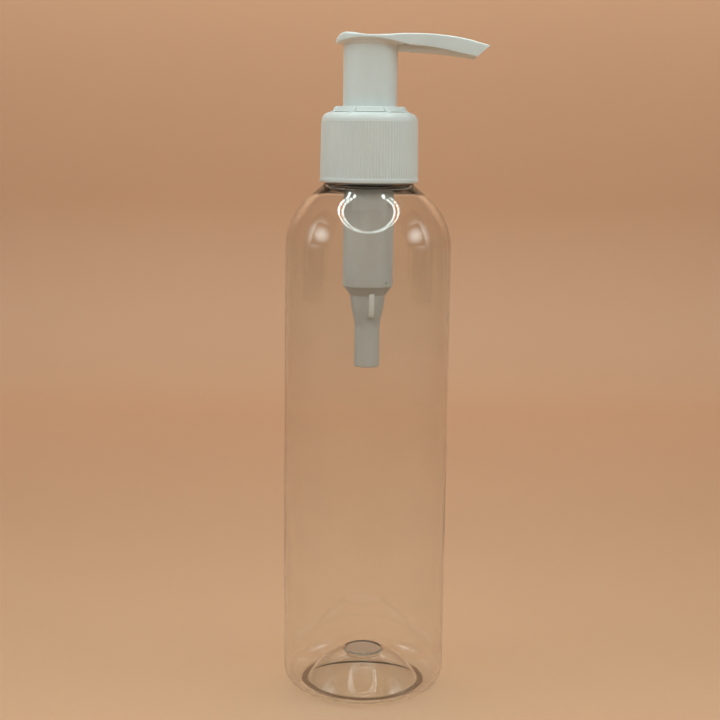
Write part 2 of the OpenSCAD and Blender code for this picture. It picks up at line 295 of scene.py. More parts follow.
def screw_bump(z, angles, start):
    """How far a thread stands out at a height, from 0 to 1, round the turn."""
    crest, foot = 0.5, 1.12  # half widths of the thread at its top and its root
    run_in, run_out = -0.05, 0.35  # its ends rise between these turns, in radians
    height = np.zeros_like(angles)
    for lap in range(math.ceil(THREAD_TURNS) + 1):
        turn = angles + lap * 2 * math.pi
        centre = start + PITCH * turn / (2 * math.pi)
        left = THREAD_TURNS * 2 * math.pi - turn
        ends = smoothstep(run_in, run_out, turn) * smoothstep(run_in, run_out, left)
        height = np.maximum(height, ends * (1 - smoothstep(crest, foot, np.abs(z - centre))))
    return height


# ---------------------------------------------------------------- materials


def new_material(name):
    """A material, its node tree and its Principled shader."""
    material = bpy.data.materials.new(name)
    material.use_nodes = True
    tree = material.node_tree
    return material, tree, tree.nodes["Principled BSDF"]


def add(tree, kind, **settings):
    """A node with its settings. A setting that names an input sets that input."""
    node = tree.nodes.new(kind)
    for key, value in settings.items():
        if key in node.inputs:
            node.inputs[key].default_value = value
        else:
            setattr(node, key, value)
    return node


def noise(tree, scale, detail=3.0, stretch=(1, 1, 1)):
    """Noise in object space, in metres, so its scale is in bumps a metre."""
    place = add(tree, "ShaderNodeTexCoord")
    spread = add(tree, "ShaderNodeMapping")
    spread.inputs["Scale"].default_value = stretch
    cloud = add(tree, "ShaderNodeTexNoise", Scale=scale, Detail=detail)
    tree.links.new(place.outputs["Object"], spread.inputs["Vector"])
    tree.links.new(spread.outputs["Vector"], cloud.inputs["Vector"])
    return cloud.outputs["Fac"]


def ranged(tree, value, low, high):
    """Spreads noise, most of which lies between 0.3 and 0.7, between low and high."""
    node = add(tree, "ShaderNodeMapRange",
               **{"From Min": 0.3, "From Max": 0.7, "To Min": low, "To Max": high})
    tree.links.new(value, node.inputs["Value"])
    return node.outputs["Result"]


def tinted(tree, value, dark, light):
    """A colour between dark, at 0, and light, at 1."""
    mix = add(tree, "ShaderNodeMix", data_type="RGBA")
    mix.inputs["A"].default_value = (*dark, 1)
    mix.inputs["B"].default_value = (*light, 1)
    tree.links.new(value, mix.inputs["Factor"])
    return mix.outputs["Result"]


def calc(tree, operation, *values):
    """A sum on sockets and plain numbers."""
    node = add(tree, "ShaderNodeMath", operation=operation)
    for socket, value in zip(node.inputs, values):
        if isinstance(value, (int, float)):
            socket.default_value = value
        else:
            tree.links.new(value, socket)
    return node.outputs["Value"]


def bumped(tree, shader, layers):
    """Adds bumps, one over the other. A layer is (noise value, strength, distance in metres)."""
    below = None
    for value, strength, distance in layers:
        bump = add(tree, "ShaderNodeBump", Strength=strength, Distance=distance)
        tree.links.new(value, bump.inputs["Height"])
        if below:
            tree.links.new(below, bump.inputs["Normal"])
        below = bump.outputs["Normal"]
    tree.links.new(below, shader.inputs["Normal"])


def moulded_plastic(name, dark, light, rough, grain=0.5):
    """Moulded plastic: faint flow clouds in its colour, uneven gloss, and a fine skin."""
    material, tree, shader = new_material(name)
    shader.inputs["IOR"].default_value = 1.49
    clouds = noise(tree, 60, 2)
    tree.links.new(tinted(tree, ranged(tree, clouds, 0, 1), dark, light), shader.inputs["Base Color"])
    tree.links.new(ranged(tree, noise(tree, 240, 4), *rough), shader.inputs["Roughness"])
    bumped(tree, shader, [(noise(tree, 140, 2), 0.12 * grain, 0.0002),
                          (noise(tree, 2600, 3), 0.1 * grain, 0.00002)])
    return material


def clear_plastic(name, disc_r, disc_top, frosting):
    """Thin blown PET: nearly colourless, a little wavy, frosted on its disc. Lamps shine through it."""
    material, tree, shader = new_material(name)
    shader.inputs["Transmission Weight"].default_value = 1.0
    shader.inputs["IOR"].default_value = 1.5
    clouds = noise(tree, 50, 2)
    tree.links.new(tinted(tree, ranged(tree, clouds, 0, 1), (0.94, 0.94, 0.93), (0.965, 0.965, 0.955)),
                   shader.inputs["Base Color"])

    place = add(tree, "ShaderNodeTexCoord")
    split = add(tree, "ShaderNodeSeparateXYZ")
    tree.links.new(place.outputs["Object"], split.inputs["Vector"])
    squares = [calc(tree, "POWER", split.outputs[axis], 2) for axis in "XY"]
    radius = calc(tree, "SQRT", calc(tree, "ADD", *squares))
    on_disc = calc(tree, "LESS_THAN", radius, disc_r * MM)
    near_base = calc(tree, "LESS_THAN", split.outputs["Z"], disc_top * MM)
    frost = calc(tree, "MULTIPLY", calc(tree, "MULTIPLY", on_disc, near_base), frosting)
    haze = ranged(tree, noise(tree, 220, 3), 0.0, 0.03)
    tree.links.new(calc(tree, "ADD", haze, frost), shader.inputs["Roughness"])
    bumped(tree, shader, [(noise(tree, 45, 1.5, (1, 1, 0.35)), 0.14, 0.0006)])

    rays = add(tree, "ShaderNodeLightPath")
    open_to_lamps = add(tree, "ShaderNodeBsdfTransparent", Color=(0.72, 0.72, 0.71, 1))
    mix = add(tree, "ShaderNodeMixShader")
    tree.links.new(rays.outputs["Is Shadow Ray"], mix.inputs["Fac"])
    tree.links.new(shader.outputs["BSDF"], mix.inputs[1])
    tree.links.new(open_to_lamps.outputs["BSDF"], mix.inputs[2])
    tree.links.new(mix.outputs["Shader"], tree.nodes["Material Output"].inputs["Surface"])
    return material


def spring_steel(name):
    """Drawn stainless wire, with die lines."""
    material, tree, shader = new_material(name)
    shader.inputs["Metallic"].default_value = 1.0
    lines = noise(tree, 3000, 2, (0.2, 0.2, 3))
    tree.links.new(tinted(tree, ranged(tree, lines, 0, 1), (0.5, 0.51, 0.52), (0.72, 0.73, 0.74)),
                   shader.inputs["Base Color"])
    tree.links.new(ranged(tree, lines, 0.2, 0.38), shader.inputs["Roughness"])
    bumped(tree, shader, [(lines, 0.15, 0.00001)])
    return material


def foam(name):
    """Closed-cell foam sheet with tiny cells."""
    material, tree, shader = new_material(name)
    cells = add(tree, "ShaderNodeTexVoronoi", Scale=2500)
    place = add(tree, "ShaderNodeTexCoord")
    tree.links.new(place.outputs["Object"], cells.inputs["Vector"])
    tree.links.new(tinted(tree, cells.outputs["Distance"], (0.82, 0.82, 0.8), (0.9, 0.9, 0.89)),
                   shader.inputs["Base Color"])
    tree.links.new(ranged(tree, noise(tree, 900), 0.6, 0.85), shader.inputs["Roughness"])
    bumped(tree, shader, [(cells.outputs["Distance"], 0.4, 0.00005)])
    return material


def glass(name):
    """A glass ball with a few fine scuffs."""
    material, tree, shader = new_material(name)
    shader.inputs["Transmission Weight"].default_value = 0.9
    shader.inputs["IOR"].default_value = 1.52
    tree.links.new(tinted(tree, ranged(tree, noise(tree, 400), 0, 1), (0.8, 0.88, 0.87), (0.9, 0.96, 0.95)),
                   shader.inputs["Base Color"])
    tree.links.new(ranged(tree, noise(tree, 1500, 5), 0.02, 0.12), shader.inputs["Roughness"])
    return material


WHITE = moulded_plastic("white_polypropylene", (0.76, 0.79, 0.77), (0.8, 0.83, 0.81), (0.33, 0.42))
RIBBED = moulded_plastic("ribbed_polypropylene", (0.75, 0.78, 0.76), (0.8, 0.82, 0.8), (0.32, 0.44))
MILKY = moulded_plastic("milky_polypropylene", (0.49, 0.5, 0.48), (0.55, 0.56, 0.54), (0.33, 0.43), grain=0.7)
SOFT_WHITE = moulded_plastic("white_polyethylene", (0.8, 0.8, 0.78), (0.86, 0.86, 0.84), (0.35, 0.48))
CLEAR = clear_plastic("clear_bottle_plastic", disc_r=5.2, disc_top=12, frosting=0.3)
STEEL = spring_steel("drawn_spring_wire")
FOAM = foam("gasket_foam")
BALL_GLASS = glass("ball_glass")


def finish_piece(piece, material, body, slot, *nodes):
    """Gives the piece its material and its body, and hides the CAD nodes that it stands for. The slot is not
    used.
    """
    piece.data.materials.clear()
    piece.data.materials.append(material)
    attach(piece, body)
    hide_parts(*nodes)
    return piece


# ---------------------------------------------------------------- bottle


def make_bottle():
    """The bottle's outer and inner skin, turned in one. Its push-up has a disc with a raised edge."""
    heel_r, shoulder_r, neck_r, bore_r, wall = 5.5, 20.0, 10.75, 9.5, 0.6
    ring_in = BODY_R - heel_r - 1.75
    ledge_r, ledge_z, flank_r, flank_h = 12.7, RIM - 16.2, 16.3, 3.1
    ledge_foot = ledge_z - 0.3
    push_up, push_up_in, disc_edge, chamfer = 9.4, 10.6, 5.9, 0.45
    crest = 1.1  # how far the thread stands out
    axis_r = BODY_R - shoulder_r
    top_angle = math.degrees(math.acos((flank_r - axis_r) / shoulder_r))
    shoulder_z = ledge_foot - flank_h - shoulder_r * math.sin(math.radians(top_angle))
    inner = shoulder_r - wall - 0.1
    neck_angle = math.degrees(math.acos((bore_r - axis_r) / inner))

    def dome(low, high, edge, tip):
        """The push-up, from near its middle out to the standing ring."""
        r = np.linspace(tip, edge, 26)
        rise = (1 - (r / edge) ** 2.3) ** 0.95
        return [(a, low + (high - low) * b) for a, b in zip(r, rise)]

    outside = rounded([(0, 8.5), (1.7, 8.5, 0.2), (1.9, 8.95, 0.2), (5.3, 8.9, 0.4), (5.6, 8.75)],
                      closed=False)
    outside += dome(0, push_up, ring_in, disc_edge)[:-1] + [(ring_in, 0)]
    outside += arc(BODY_R - heel_r, heel_r, heel_r, -90, 0, 20)
    outside += arc(axis_r, shoulder_z, shoulder_r, 0, top_angle, 44)
    outside += rounded([(flank_r, ledge_foot - flank_h), (ledge_r + 0.7, ledge_z - 1.0, 3),
                        (ledge_r, ledge_foot, 0.5), (ledge_r, ledge_z, 0.2), (neck_r, ledge_z, 0.3),
                        (neck_r, RIM - chamfer), (neck_r - chamfer, RIM)], closed=False)[1:]
    inside = rounded([(0, 9.8), (4.5, 9.95, 0.6), (5.3, 10.15, 0.5), (5.8, 9.95, 0.4)], closed=False)
    inside += dome(0.8, push_up_in, ring_in, disc_edge + 0.1)
    inside += arc(BODY_R - heel_r, heel_r, heel_r - wall, -90, 0, 20)
    inside += arc(axis_r, shoulder_z, inner, 0, neck_angle, 44)
    inside += [(bore_r, RIM - chamfer), (bore_r + chamfer, RIM)]
    outline = finely(outside + inside[::-1], 0.22, ledge_z, RIM, closed=False)

    def thread(r, z, angles):
        if abs(r - neck_r) < 0.01 and z > ledge_z + 0.5:
            return r + crest * screw_bump(z, angles, THREAD_Z)
        return np.full_like(angles, r)

    bottle = turned("clear_bottle", outline, 256, closed=False, shape=thread)
    return finish_piece(bottle, CLEAR, "bottle", "clear_bottle", "bottle")


# ---------------------------------------------------------------- closure and collar


def make_closure():
    """The closure, with ribs pressed into its wall and a thread in its bore."""
    low, top, bead_r = CLOSURE[0][2], CLOSURE[1][2], CLOSURE[1][0]
    ribs, depth = 100, 0.09
    rib_low, rib_high = low + 1.15, top - 2.55
    bore_r, crest, hole_r, ceiling = 12.2, 1.15, 8.6, top - 1.5
    wall_low, wall_high = bead_r - 0.1, bead_r - 0.36
    dome_r = 2.45
    cap_r = wall_high - 0.08
    outline = rounded([
        (bore_r, low, 0.15), (bead_r, low, 0.3), (bead_r, low + 0.95, 0.3), (wall_low, low + 1.2, 0.1),
        (wall_high, rib_high + 0.1, 0.05), (cap_r, rib_high + 0.2, 0.05), (cap_r, top - dome_r)],
        closed=False)
    outline += arc(cap_r - dome_r, top - dome_r, dome_r, 8, 90, 14)
    outline += rounded([(hole_r + 1, top), (hole_r, top, 0.2), (hole_r, ceiling, 0.1), (bore_r, ceiling, 0.4),
                        (bore_r, low + 1)], closed=False)
    outline = finely(outline, 0.24)

    def ribs_and_thread(r, z, angles):
        if r > wall_high - 0.3 and rib_low - 0.1 < z < rib_high + 0.12:
            saw = np.abs((angles * ribs / (2 * math.pi)) % 1 * 2 - 1)
            ends = smoothstep(rib_low, rib_low + 0.35, z) * smoothstep(0, 0.3, rib_high + 0.1 - z)
            return r - depth * ends * smoothstep(0.3, 0.95, saw)
        if abs(r - bore_r) < 0.01 and low + 1 < z < ceiling - 0.5:
            return r - crest * screw_bump(z, angles, THREAD_Z - PITCH / 2)
        return np.full_like(angles, r)

    closure = turned("ribbed_closure", outline, ribs * 8, shape=ribs_and_thread, sharp=48)
    return finish_piece(closure, RIBBED, "closure", "white_pp", "closure")


def make_collar():
    """The ring round the head's skirt, with eight bars in four pairs, its sleeve and its guide tube."""
    low, top = COLLAR[0][2], COLLAR[1][2]
    under = CLOSURE[1][2] + 0.1
    base_r, rim_r, well_r, sleeve_r, guide_r, guide_out = 10.65, 10.0, 7.75, 8.45, 3.36, 4.6
    floor, guide_top, snap = low + 1.15, low + 7, low + 8.05
    outline = rounded([
        (guide_r, low), (sleeve_r, low, 0.4), (sleeve_r, snap - 0.2, 0.1),
        (sleeve_r + 0.18, snap + 0.05, 0.1), (sleeve_r + 0.18, snap + 0.7, 0.1),
        (sleeve_r, snap + 1, 0.1), (sleeve_r, under, 0.1),
        (base_r, under, 0.1), (base_r, under + 0.2, 0.12), (base_r - 0.2, under + 0.28, 0.1),
        (rim_r, top - 0.03, 0.35), (well_r, top - 0.03, 0.3), (well_r, floor, 0.3), (guide_out, floor, 0.3),
        (guide_out, guide_top, 0.3), (guide_r, guide_top, 0.15)])
    collar = turned("lock_collar_ring", outline)
    half_window = 23.5  # degrees from the middle of a window to the bar beside it
    bars = [collar_bar(quarter + side * half_window, side, under, top)
            for quarter in (0, 90, 180, 270) for side in (-1, 1)]
    combine(collar, bars, UNION)
    return finish_piece(collar, WHITE, "pump_core", "white_pp", "lock_collar")


def collar_bar(azimuth, side, under, top):
    """A bar down the collar's slope. Its foot turns away from the window, down the closure's dome."""
    # radius, height of the bar's back, turn away from the window, half width, how far it stands out
    rows = [(9.5, top - 0.12, 0, 0.38, 0.2), (9.95, top - 0.25, 0, 0.4, 0.42),
            (10.3, under + 0.75, 0, 0.4, 0.5), (10.55, under + 0.25, 0.3, 0.38, 0.5),
            (10.95, under - 0.02, 1.2, 0.34, 0.42), (11.6, under - 0.12, 2.8, 0.3, 0.36),
            (12.2, under - 0.38, 4.2, 0.26, 0.32), (12.75, under - 0.85, 5.4, 0.18, 0.2)]
    # across and up, in half widths and heights, from one buried edge over the back to the other
    section = [(-1, -0.3), (-1, 0.5), (-0.6, 0.9), (0, 1), (0.6, 0.9), (1, 0.5), (1, -0.3)]
    line = np.array([(r, z) for r, z, *_ in rows])
    along = np.gradient(line, axis=0)
    out = np.stack([-along[:, 1], along[:, 0]], axis=1) / np.linalg.norm(along, axis=1)[:, None]
    rings = []
    for (r, z, turn, half, height), (out_r, out_z) in zip(rows, out):
        a = math.radians(azimuth + side * turn - 90)
        ring = []
        for across, up in section:
            away, rise = r + out_r * up * height, z + out_z * up * height
            x = away * math.cos(a) - across * half * math.sin(a)
            y = away * math.sin(a) + across * half * math.cos(a)
            ring.append((x, y, rise))
        rings.append(ring)
    return skinned("bar", rings)


# ---------------------------------------------------------------- pump body and its inner pieces


def make_housing():
    """The milky chamber, from its flange and cup down to the dip-tube socket, and its two gussets, which get
    the brighter white plastic as a painted highlight.
    """
    low, top, flange_r = HOUSING[0][2], HOUSING[1][2], HOUSING[1][0]
    chamber_r, bore_r, cup_r, cup_bore, socket_r = 7.2, 6.4, 9.1, 8.48, 3.6
    cup_floor, nose = RIM - 12.5, RIM - 48.5
    seat, socket_top, cage_r, port_r, tube_r = RIM - 54.9, RIM - 58.3, 2.9, 1.5, 2.7
    well_r, well_floor = 3.8, CHAMBER_FLOOR + 1.4
    groove = top - 6.6
    outline = rounded([
        (port_r, socket_top + 0.5), (tube_r, socket_top + 0.5, 0.2), (tube_r, low + 0.4), (tube_r + 0.3, low),
        (socket_r + 0.06, low, 0.6), (socket_r + 0.04, low + 2, 1), (socket_r - 0.03, socket_top + 1.1, 2.5),
        (3.78, nose - 7, 1), (4.55, nose - 3.6, 2), (5.1, nose + 0.4, 0.3), (6.75, CHAMBER_FLOOR - 0.95, 0.4),
        (chamber_r, CHAMBER_FLOOR - 0.45, 0.35), (chamber_r, CHAMBER_FLOOR + 2),
        (chamber_r, cup_floor - 1.6, 0.5), (cup_r, cup_floor - 0.2, 0.5), (cup_r, top - 1, 0.2),
        (flange_r, top - 1), (flange_r, top, 0.15), (cup_bore, top, 0.15), (cup_bore, groove + 1.4, 0.1),
        (cup_bore + 0.22, groove + 1.1, 0.1), (cup_bore + 0.22, groove + 0.3, 0.1), (cup_bore, groove, 0.1),
        (cup_bore, cup_floor, 0.3), (bore_r, cup_floor, 0.2), (bore_r, CHAMBER_FLOOR, 0.4),
        (well_r, CHAMBER_FLOOR, 0.2), (well_r, well_floor, 0.2), (cage_r, well_floor, 0.2),
        (cage_r, seat + cage_r - port_r, 0.3), (port_r, seat, 0.2)])
    housing = turned("pump_chamber", outline, 160)

    ball_top = BALL[1][2]
    stop = [(2.25, ball_top + 0.25), (3.1, ball_top + 0.25), (3.1, ball_top + 1.0), (2.5, ball_top + 1.0)]
    combine(housing, [placed(prism("stop", stop, 1.0), turn) for turn in (45, 135, 225, 315)], UNION)

    vent = swept("vent", [(4, 0, 0), (6.5, 0, 0), (10, 0, 0)], 0.4, 16)
    placed(vent, -50, (0, 0, PISTON[0][2] + 5))
    mark_r, mark_h = chamber_r - 0.45, 0.9
    mark = prism("mark", [(mark_r, 0), (chamber_r + 1, 0), (chamber_r + 1, mark_h), (mark_r, mark_h)], 0.4)
    placed(mark, -44, (0, 0, CHAMBER_FLOOR + 0.3))
    combine(housing, [vent, mark], CUT)

    gusset = [(3.0, nose - 6.0), (4.8, nose - 5.8), (5.2, nose - 5.2), (5.55, nose - 2), (5.6, nose + 1.3),
              (3.0, nose + 1.3)]
    gusset_w, gusset_edge = 1.45, 0.2
    front, back = [placed(prism("nose_gussets", gusset, gusset_w, gusset_edge), turn) for turn in (-77, 103)]
    # Painted highlight: the gussets are the chamber's own natural polypropylene, given the brighter white
    # plastic to stand for the light they catch.
    finish_piece(combine(front, [back], UNION), WHITE, "pump_core", "natural_pp", "pump_housing")
    return finish_piece(mended(housing), MILKY, "pump_core", "natural_pp", "pump_housing")


def make_gasket():
    low, high, r = GASKET[0][2], GASKET[1][2], GASKET[1][0]
    outline = rounded([(9.25, low, 0.1), (r, low, 0.15), (r, high, 0.15), (9.25, high, 0.1)])
    return finish_piece(turned("foam_gasket", outline), FOAM, "pump_core", "white_foam", "neck_gasket")


def make_piston():
    """A plug with a lip at each end of its skirt, on a sleeve that slides on the stem."""
    low, top, lip = PISTON[0][2], PISTON[1][2], PISTON[1][0]
    bore, sleeve, skin_in, skin_out, web = 2.95, 3.9, 5.55, 6.05, low + 4.1
    outline = rounded([
        (bore, low, 0.1), (sleeve, low, 0.2), (sleeve, web, 0.4), (skin_in, web, 0.4),
        (skin_in + 0.3, low + 0.7), (lip, low + 0.4, 0.12), (lip, low + 1.1, 0.3),
        (skin_out, low + 2.6, 0.8), (skin_out, top - 2.4, 0.8),
        (lip, top - 1.1, 0.3), (lip, top - 0.4, 0.12), (skin_in + 0.3, top - 0.7), (skin_in, web + 1.3, 0.4),
        (sleeve, web + 1.3, 0.4), (sleeve, top, 0.2), (bore, top, 0.1)])
    return finish_piece(turned("piston_plug", outline, COARSE), SOFT_WHITE, "piston", "white_pe", "piston")


def make_stems():
    """The tube under the head, and the valve stem plugged into its foot."""
    low, top, r = UPPER_STEM[0][2], UPPER_STEM[1][2], UPPER_STEM[1][0]
    bore, plug, shank = 2.12, 2.1, 2.9
    outline = rounded([(bore, low, 0.15), (r, low, 0.3), (r, top, 0.35), (bore, top, 0.15)])
    upper = turned("upper_stem_tube", outline, COARSE)
    finish_piece(upper, MILKY, "stem", "natural_pp", "upper_stem")

    foot, tip = LOWER_STEM[0][2], LOWER_STEM[1][2]
    seat = PISTON[0][2] - 0.05
    window, window_top, waist, duct_r = seat + 1.1, seat + 1.1 + 2.6, shank - 0.5, 1.5
    outline = rounded([
        (0, foot), (2.4, foot, 0.4), (2.5, foot + 2), (5.2, foot + 2, 0.15), (5.2, foot + 3, 0.2),
        (4.2, seat, 0.1), (waist, seat, 0.2), (waist, window + 3.2, 0.2), (shank, window + 3.7, 0.2),
        (shank, low - 0.03, 0.1), (plug, low - 0.03, 0.1), (plug, tip, 0.3), (duct_r, tip, 0.1),
        (duct_r, window), (0, window)], closed=False)
    lower = turned("valve_stem", outline, COARSE, closed=False)
    across = rounded([(-4, window, 0.01), (4, window, 0.01), (4, window_top, 0.01), (-4, window_top, 0.01)])
    combine(lower, [placed(prism("hole", across, 1.6), turn) for turn in (0, 90)], CUT)
    finish_piece(lower, MILKY, "stem", "natural_pp", "lower_stem")


def make_spring():
    """The return spring, with a closed coil at each end."""
    low, high, outer = SPRING[0][2], SPRING[1][2], SPRING[1][0]
    wire, turns, steps = 0.8, 7.5, 36
    r = outer - wire / 2
    closed = wire * 1.02
    bottom, top = low + wire / 2, high - wire / 2
    path = []
    for i in range(int(turns * steps) + 1):
        turn = i / steps
        climb = np.interp(turn, [0, 1, turns - 1, turns], [0, closed, top - bottom - closed, top - bottom])
        a = 2 * math.pi * turn
        path.append((r * math.cos(a), r * math.sin(a), bottom + climb))
    spring = swept("wire_spring", path, wire / 2, 14)
    finish_piece(spring, STEEL, "pump_core", "spring_steel", "return_spring")
    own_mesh(spring)


def make_ball():
    centre, r = (BALL[0][2] + BALL[1][2]) / 2, BALL[1][0]
    outline = [(0, centre - r)] + arc(0, centre, r, -88, 88, 44) + [(0, centre + r)]
    ball = turned("check_ball", outline, COARSE, closed=False)
    return finish_piece(ball, BALL_GLASS, "ball", "ball_glass", "inlet_ball")


# ---------------------------------------------------------------- head

# Heights along the head, counted from HEAD_Z, as (x, height).
TOP_LINE = [(-9.75, 1.0), (-9.0, 1.9), (-8.2, 2.45), (-7.1, 2.74), (-5.3, 2.62), (-3.2, 2.26), (-1.6, 2.02),
            (1.6, 1.92), (4, 2.06), (6.5, 2.32), (9.5, 2.64), (11.7, 2.76), (14, 2.8), (17.1, 2.72),
            (20.6, 2.44), (24.2, 1.98), (27.8, 1.26), (30.5, 0.52), (33.2, -0.2)]
LOW_LINE = [(-9.75, -0.15), (-8.5, 0.2), (-5.1, 0.85), (-1.6, 1.05), (3.2, 0.8), (6.5, 0.3), (9.7, -0.35),
            (13.6, -0.75), (17.1, -1.05), (20.7, -1.65), (24.3, -2.4), (27.9, -3.1), (33.2, -4.3)]
# Middle of the outlet tube under the spout.
TUBE_LINE = [(0, -0.95), (4.5, -0.7), (8.2, -0.25), (13.6, -0.52), (18.9, -0.78), (23.4, -1.3), (26.2, -1.65),
             (28.8, -2.1), (32, -2.75), (36, -3.7)]
# The side of the spout seen from above, as (x, half width), from the thumb pad to near the tip.
PLAN = [(3.4, 9.35), (5, 8.75), (7, 7.85), (9, 6.9), (11, 6.05), (13, 5.4), (16, 4.75), (19, 4.3),
        (22.5, 3.95), (26, 3.7), (29.5, 3.5), (32.4, 3.35)]


def top_height(x):
    return HEAD_Z + curve_through(TOP_LINE, x)


def low_height(x):
    return HEAD_Z + curve_through(LOW_LINE, x)


def tube_path(start, end, count):
    """Points along the middle of the outlet tube, between two distances from the pump's axis."""
    x = np.linspace(start, end, count)
    return np.stack([x, 0 * x, HEAD_Z + curve_through(TUBE_LINE, x)], axis=1)


def head_outline():
    """The half outline of the head from above, at even steps."""
    count, reach, pad_r, tip_r = 150, HEAD[1][0], 9.65, 0.9
    back = arc(0, 0, pad_r, 180, 78, 30)
    back = [(x * (1 + 0.01 * (x < 0)), y) for x, y in back]
    front = arc(reach - tip_r, 2.35, tip_r, 80, 0, 5) + [(reach, 1.2), (reach, 0)]
    line = np.array(back + PLAN + front)
    far = np.concatenate([[0], np.cumsum(np.linalg.norm(np.diff(line, axis=0), axis=1))])
    at = np.linspace(0, far[-1], count)
    slope = np.gradient(line, far, axis=0)
    i = np.clip(np.searchsorted(far, at) - 1, 0, len(far) - 2)
    h = (far[i + 1] - far[i])[:, None]
    t = ((at - far[i]) / h[:, 0])[:, None]
    return cubic(t, h, line[i], line[i + 1], slope[i], slope[i + 1])


def head_rings(half):
    """Rings of the head's skin, from the middle of its top, over the edge, to the middle of its underside."""
    full = np.concatenate([half, half[-2:0:-1] * (1, -1)])
    x = full[:, 0]
    spine_start, spine_length = -6, 37.2  # the line that the rings shrink to
    spine = np.stack([spine_start + (x - x.min()) * spine_length / np.ptp(x), np.zeros_like(x)], axis=1)
    inward = spine - full
    room = np.linalg.norm(inward, axis=1)
    inward /= room[:, None]
    spout = smoothstep(3.5, 8, x)
    edge = np.minimum(0.75 - 0.25 * spout, 0.45 * (top_height(x) - low_height(x)))  # radius of the upper edge
    low_edge = np.full_like(x, 0.3)
    rings = []

    def ring(inset, height):
        rings.append((full + inward * inset[:, None], height))

    def dish(at):
        """The hollow of the thumb pad and the crown of the spout."""
        pad_depth, pad_half_x, pad_half_y = 0.75, 9.0, 7.6
        crown_rise, crown_half, crown_drop = 0.16, 4, 0.1
        far = np.hypot(at[:, 0] / pad_half_x, at[:, 1] / pad_half_y)
        pad = -pad_depth * (1 - smoothstep(0.35, 1.0, far)) * (1 - smoothstep(4, 9, at[:, 0]))
        on_spout = smoothstep(6, 12, at[:, 0])
        crown = crown_rise * on_spout * (1 - np.clip(np.abs(at[:, 1]) / crown_half, 0, 1) ** 2)
        return pad + crown - crown_drop * on_spout

    for share in np.linspace(1, 0, 15)[:-1]:
        inset = edge + (room - edge) * share
        at = full + inward * inset[:, None]
        ring(inset, top_height(at[:, 0]) + dish(at))
    for turn in np.radians(np.linspace(90, 0, 9)):
        inset = edge * (1 - math.cos(turn))
        at = full + inward * inset[:, None]
        ring(inset, top_height(at[:, 0]) + dish(at) * math.sin(turn) - edge * (1 - math.sin(turn)))
    for share in (0.25, 0.5, 0.75):
        ring(0 * edge, (top_height(x) - edge) * (1 - share) + (low_height(x) + low_edge) * share)
    for turn in np.radians(np.linspace(0, 90, 6)):
        inset = low_edge * (1 - math.cos(turn))
        ring(inset, low_height(x) + low_edge * (1 - math.sin(turn)))
    for share in np.linspace(0, 1, 16)[1:]:
        inset = low_edge + (room - low_edge) * share
        at = full + inward * inset[:, None]
        low = low_height(at[:, 0])
        flare = (1 - smoothstep(7.5, 9.3, np.hypot(at[:, 0], at[:, 1]))) * (low - (HEAD_Z - 0.15))
        ring(inset, low - flare)
    return rings


def make_head():
    """The thumb pad and the hollow-backed spout, with its tube, the skirt and the socket for the stem."""
    rings = head_rings(head_outline())
    n = len(rings[0][0])
    points = [(p[0], p[1], z) for at, height in rings for p, z in zip(at, height)]
    index = [list(range(i * n, (i + 1) * n)) for i in range(len(rings))]
    faces = [f for a, b in zip(index, index[1:]) for f in band(a, b)]
    head = mended(make_piece("thumb_pad_and_spout", points, faces))

    combine(head, [spout_hollow()], CUT)
    roof, socket_foot, tube_r, duct_r = HEAD_Z + 0.9, SKIRT_BOTTOM + 8.5, 1.95, 1.25
    wall = [(SKIRT_R, z) for z in np.linspace(SKIRT_BOTTOM + 1, HEAD_Z - 2, 8)]
    skirt = turned("skirt", rounded([
        (6.8, SKIRT_BOTTOM, 0.15), (SKIRT_R, SKIRT_BOTTOM, 0.25), *wall, (SKIRT_R, HEAD_Z - 0.35, 0.8),
        (8.35, HEAD_Z + 0.15, 0.3), (8.2, HEAD_Z + 0.8), (6.8, HEAD_Z + 0.8)]), 144)
    wrap = rounded([(2.8, socket_foot), (4.7, socket_foot, 0.3), (4.7, roof), (2.8, roof)])
    socket = turned("socket", wrap, COARSE)
    combine(head, [swept("tube", tube_path(2, 35, 34), tube_r, 40), skirt, socket], UNION)

    stem_top, below = UPPER_STEM[1][2], SKIRT_BOTTOM + 7
    stem_hole, stem_bore = 3.32, 2.12
    inner = turned("inner", [(0, below), (stem_hole, below), (stem_hole, stem_top), (stem_bore, stem_top),
                             (stem_bore, roof), (0, roof)], COARSE, closed=False)
    duct = swept("duct", tube_path(0.2, 38, 40), duct_r, 32)
    combine(head, [inner, duct, beyond_tip()], CUT)
    return finish_piece(mended(head), WHITE, "head", "white_pp", "actuator_head")


def spout_hollow():
    """The space under the spout, which its tube is then laid through."""
    side_wall, top_wall, low = 1.1, 1.3, HEAD_Z - 8
    plan = np.array(PLAN)
    rings = []
    for x in np.linspace(9.2, 26.5, 20):
        w = np.interp(x, plan[:, 0], plan[:, 1]) - side_wall
        top = float(top_height(np.array([x]))[0]) - top_wall
        half = rounded([(0, low), (w, low), (w, top, 0.6), (0, top)], closed=False)
        rings.append([(x, y, z) for y, z in half] + [(x, -y, z) for y, z in half[-2:0:-1]])
    return skinned("hollow", rings)


def beyond_tip():
    """Everything beyond the spout's slanted end."""
    lean = math.radians(48.5)
    corner = np.array([HEAD[1][0] - 0.05, HEAD_Z - 0.25])
    down = np.array([-math.sin(lean), -math.cos(lean)])
    out = np.array([math.cos(lean), -math.sin(lean)])
    above, below, far, wide = 8, 14, 14, 24
    start, end = corner - down * above, corner + down * below
    return prism("beyond", [tuple(p) for p in (start, end, end + out * far, start + out * far)], wide)


# ---------------------------------------------------------------- stage, light and camera

WINDOW_LIGHT = (0.88, 1, 0.98)


